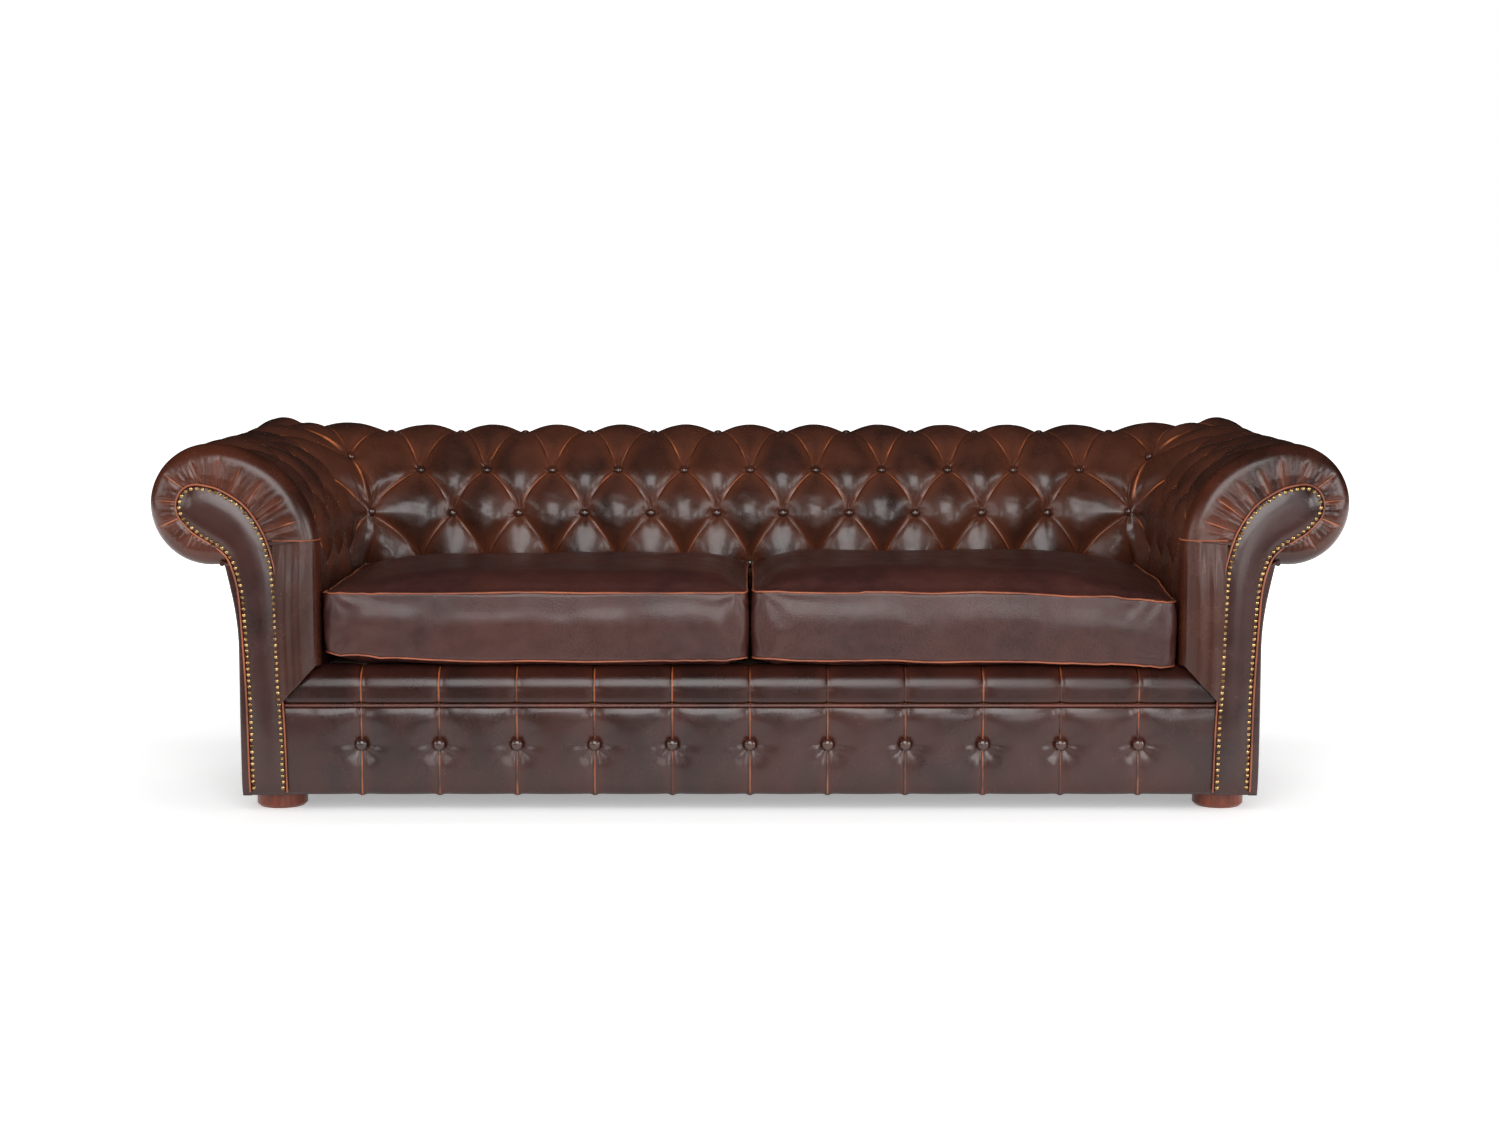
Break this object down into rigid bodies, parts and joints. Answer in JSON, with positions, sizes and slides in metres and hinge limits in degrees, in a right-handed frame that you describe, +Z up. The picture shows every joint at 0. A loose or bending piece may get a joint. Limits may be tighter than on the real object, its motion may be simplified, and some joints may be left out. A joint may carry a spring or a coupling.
{
  "type": "leather sofa",
  "caption": "Deep-buttoned leather sofa with scroll arms as high as its back, two loose box cushions, a buttoned front border, nail-trimmed facings and short drum feet.",
  "frame": {"origin": "on the floor, under the middle of the sofa", "axes": "+X along the sofa towards the right arm as seen from the front, +Y towards the back, +Z up"},
  "size_m": [2.3424, 0.9412, 0.7386],
  "materials": {
    "tufted_leather": "aged gloss, rubbed lighter on the pleats",
    "arm_panel_leather": "aged gloss, reddish brown",
    "facing_leather": "aged gloss, purplish brown",
    "border_leather": "aged gloss, purplish brown",
    "cushion_leather": "aged gloss, softly creased",
    "button_leather": "aged gloss",
    "piping_leather": "rubbed to orange brown",
    "foot_wood": "satin, reddish brown",
    "frame_wood": "sawn",
    "panel_ply": "sanded",
    "webbing": "woven",
    "lining_cloth": "plain weave",
    "felt": "felted",
    "foam": "open cell",
    "dust_cloth": "thin black cloth",
    "bolt_steel": "zinc plated"
  },
  "bodies": {
    "frame": {"arm_front_panels": "arm_panel_leather", "arm_front_rolls": "tufted_leather", "arm_front_stiles": "frame_wood", "arm_lining_left": "lining_cloth", "arm_lining_right": "lining_cloth", "arm_outer_panel_left": "border_leather", "arm_outer_panel_right": "border_leather", "arm_ribs_left": "panel_ply", "arm_ribs_right": "panel_ply", "arm_roll_rail_left": "frame_wood", "arm_roll_rail_right": "frame_wood", "arm_scroll_board_left": "panel_ply", "arm_scroll_board_right": "panel_ply", "arm_tack_rails": "frame_wood", "arm_tuft_buttons": "button_leather", "arm_tufted_pads": "tufted_leather", "back_lining": "lining_cloth", "back_outer_panel": "border_leather", "back_ribs": "panel_ply", "back_roll_rail": "frame_wood", "back_tack_rail": "frame_wood", "back_tuft_buttons": "button_leather", "back_tufted_pad": "tufted_leather", "corner_blocks": "frame_wood", "dust_cover": "dust_cloth", "foot_bolts": "bolt_steel", "front_border_buttons": "button_leather", "front_border_pad": "border_leather", "front_border_piping": "piping_leather", "front_feet": "foot_wood", "front_rail": "frame_wood", "lower_back_rail": "frame_wood", "lower_side_rails": "frame_wood", "rear_corner_posts": "frame_wood", "rear_feet": "foot_wood", "rear_rail": "frame_wood", "scroll_facing_left": "facing_leather", "scroll_facing_right": "facing_leather", "seat_deck_cloth": "lining_cloth", "seat_deck_foam": "foam", "seat_insulator_felt": "felt", "seat_lip_pad": "border_leather", "seat_side_rails": "frame_wood", "seat_stretchers": "frame_wood", "seat_webbing_crosswise": "webbing", "seat_webbing_lengthwise": "webbing"},
    "cushion_left": {"cushion_cover_left": "cushion_leather", "cushion_core_left": "foam"},
    "cushion_right": {"cushion_cover_right": "cushion_leather", "cushion_core_right": "foam"}
  },
  "joints": [
    {"name": "cushion_left_lift", "type": "slide", "parent": "frame", "child": "cushion_left", "axis": [0, -0.5, 0.866], "range_m": [0, 0.4]},
    {"name": "cushion_right_lift", "type": "slide", "parent": "frame", "child": "cushion_right", "axis": [0, -0.5, 0.866], "range_m": [0, 0.4]}
  ]
}
